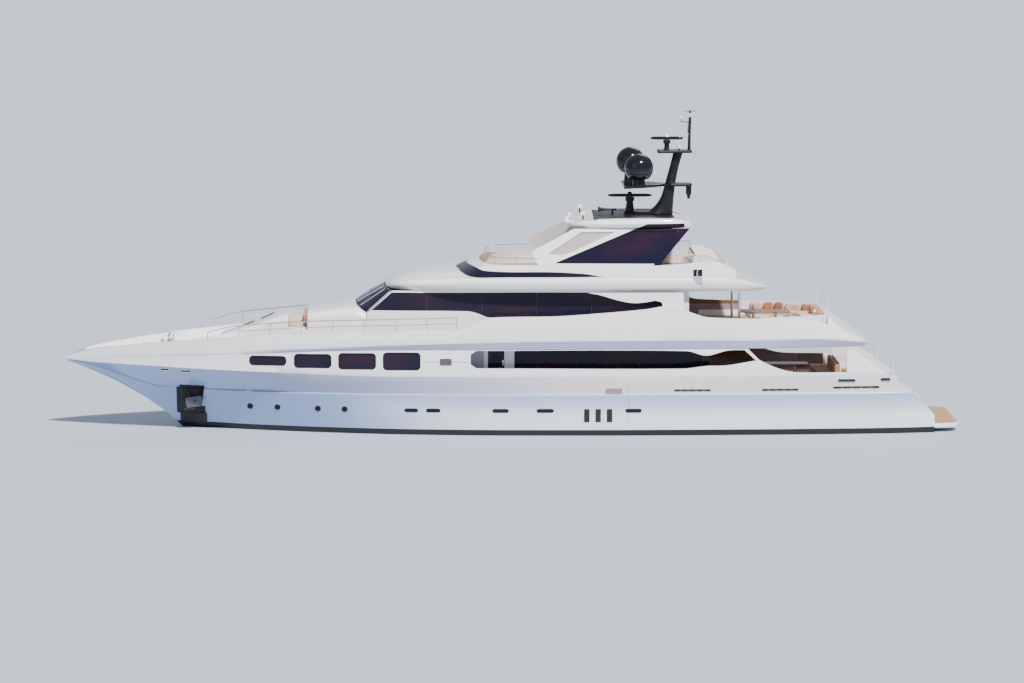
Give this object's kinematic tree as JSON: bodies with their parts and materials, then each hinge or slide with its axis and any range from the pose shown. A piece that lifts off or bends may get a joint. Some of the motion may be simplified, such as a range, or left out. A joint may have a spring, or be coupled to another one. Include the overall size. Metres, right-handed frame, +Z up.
{
  "type": "motor yacht, half-size scale model",
  "caption": "Three-deck motor yacht with raked dark glazing, overhanging decks, an arch with hardtop and black mast, opening doors, propellers, rudders and fins.",
  "frame": {"origin": "amidships on the centreline, at the waterline", "axes": "+X to the bow, +Y to port, +Z up"},
  "size_m": [22.95, 4.42, 9.4856],
  "materials": {
    "hull_paint": "gloss",
    "white_paint": "gloss",
    "black_paint": "gloss",
    "black_gloss": "gloss",
    "dark_glass": "gloss",
    "teak": "satin",
    "steel": "polished",
    "bronze": "satin",
    "bottom_paint": "matte",
    "cushion": "matte",
    "engine_paint": "satin"
  },
  "bodies": {
    "root": {"hull": "hull_paint", "main_deck": "teak", "side_shell_port": "white_paint", "side_shell_starboard": "white_paint", "upper_bulwark_port": "white_paint", "upper_bulwark_starboard": "white_paint", "after_bulwark": "white_paint", "upper_deck": "teak", "foredeck_trunk": "white_paint", "foredeck_seat": "cushion", "saloon_wall_port": "white_paint", "saloon_wall_starboard": "white_paint", "saloon_glass_port": "dark_glass", "saloon_glass_starboard": "dark_glass", "saloon_aft_frame": "white_paint", "upper_wall_port": "white_paint", "upper_wall_starboard": "white_paint", "upper_glass_port": "dark_glass", "upper_glass_starboard": "dark_glass", "windscreen": "dark_glass", "upper_aft_frame": "white_paint", "sun_deck": "white_paint", "sun_coaming": "white_paint", "arch_port": "white_paint", "arch_starboard": "white_paint", "arch_glass_port": "dark_glass", "arch_glass_starboard": "dark_glass", "hardtop": "white_paint", "mast": "black_paint", "domes": "black_gloss", "cabin_windows_port": "dark_glass", "cabin_windows_starboard": "dark_glass", "swim_platform": "teak", "shaft_gear_port": "steel", "shaft_gear_starboard": "steel", "anchor_port": "steel", "anchor_starboard": "steel", "windlasses": "steel", "foredeck_rail_port": "steel", "foredeck_rail_starboard": "steel", "aft_sofa": "cushion", "aft_table": "teak", "upper_sofa": "cushion", "upper_table": "teak", "sun_lounge": "cushion", "engines": "engine_paint"},
    "side_door_port": {"side_door_port": "dark_glass"},
    "side_door_starboard": {"side_door_starboard": "dark_glass"},
    "saloon_door_port": {"saloon_door_port": "dark_glass"},
    "saloon_door_starboard": {"saloon_door_starboard": "dark_glass"},
    "sky_door": {"sky_door": "dark_glass"},
    "garage_door": {"garage_door": "white_paint"},
    "propeller_port": {"propeller_port": "bronze"},
    "propeller_starboard": {"propeller_starboard": "bronze"},
    "rudder_port": {"rudder_port": "bottom_paint"},
    "rudder_starboard": {"rudder_starboard": "bottom_paint"},
    "stabilizer_port": {"stabilizer_port": "bottom_paint"},
    "stabilizer_starboard": {"stabilizer_starboard": "bottom_paint"},
    "radar_lower": {"radar_lower": "black_paint"},
    "radar_upper": {"radar_upper": "black_paint"}
  },
  "joints": [
    {"name": "side_door_port_hinge", "type": "hinge", "parent": "root", "child": "side_door_port", "pos_m": [0.644, 1.6, 1.75], "axis": [0, 0, -1], "range_deg": [0, 95]},
    {"name": "side_door_starboard_hinge", "type": "hinge", "parent": "root", "child": "side_door_starboard", "pos_m": [0.644, -1.6, 1.75], "axis": [0, 0, 1], "range_deg": [0, 95]},
    {"name": "saloon_door_port_slide", "type": "slide", "parent": "root", "child": "saloon_door_port", "axis": [0, 1, 0], "range_m": [0, 0.52]},
    {"name": "saloon_door_starboard_slide", "type": "slide", "parent": "root", "child": "saloon_door_starboard", "axis": [0, -1, 0], "range_m": [0, 0.52]},
    {"name": "sky_door_slide", "type": "slide", "parent": "root", "child": "sky_door", "axis": [0, 1, 0], "range_m": [0, 0.72]},
    {"name": "garage_door_hinge", "type": "hinge", "parent": "root", "child": "garage_door", "pos_m": [-9.61, 0, 1.085], "axis": [0, 1, 0], "range_deg": [0, 75]},
    {"name": "propeller_port_spin", "type": "hinge", "parent": "root", "child": "propeller_port", "pos_m": [-9.175, 0.775, -0.975], "axis": [1, 0, 0], "continuous": true},
    {"name": "propeller_starboard_spin", "type": "hinge", "parent": "root", "child": "propeller_starboard", "pos_m": [-9.175, -0.775, -0.975], "axis": [-1, 0, 0], "continuous": true},
    {"name": "rudder_port_turn", "type": "hinge", "parent": "root", "child": "rudder_port", "pos_m": [-9.875, 0.775, -0.8], "axis": [0, 0, 1], "range_deg": [-35, 35]},
    {"name": "rudder_starboard_turn", "type": "hinge", "parent": "root", "child": "rudder_starboard", "pos_m": [-9.875, -0.775, -0.8], "axis": [0, 0, 1], "range_deg": [-35, 35]},
    {"name": "stabilizer_port_turn", "type": "hinge", "parent": "root", "child": "stabilizer_port", "pos_m": [0.75, 1.68, -0.625], "axis": [0, 0.7317, -0.6816], "range_deg": [-25, 25]},
    {"name": "stabilizer_starboard_turn", "type": "hinge", "parent": "root", "child": "stabilizer_starboard", "pos_m": [0.75, -1.68, -0.625], "axis": [0, -0.7317, -0.6816], "range_deg": [-25, 25]},
    {"name": "radar_lower_spin", "type": "hinge", "parent": "root", "child": "radar_lower", "pos_m": [-3.05, 0, 5.975], "axis": [0, 0, 1], "continuous": true},
    {"name": "radar_upper_spin", "type": "hinge", "parent": "root", "child": "radar_upper", "pos_m": [-4, 0, 7.45], "axis": [0, 0, 1], "continuous": true}
  ],
  "couplings": [
    {"joint": "rudder_starboard_turn", "follows": "rudder_port_turn", "ratio": 1}
  ]
}
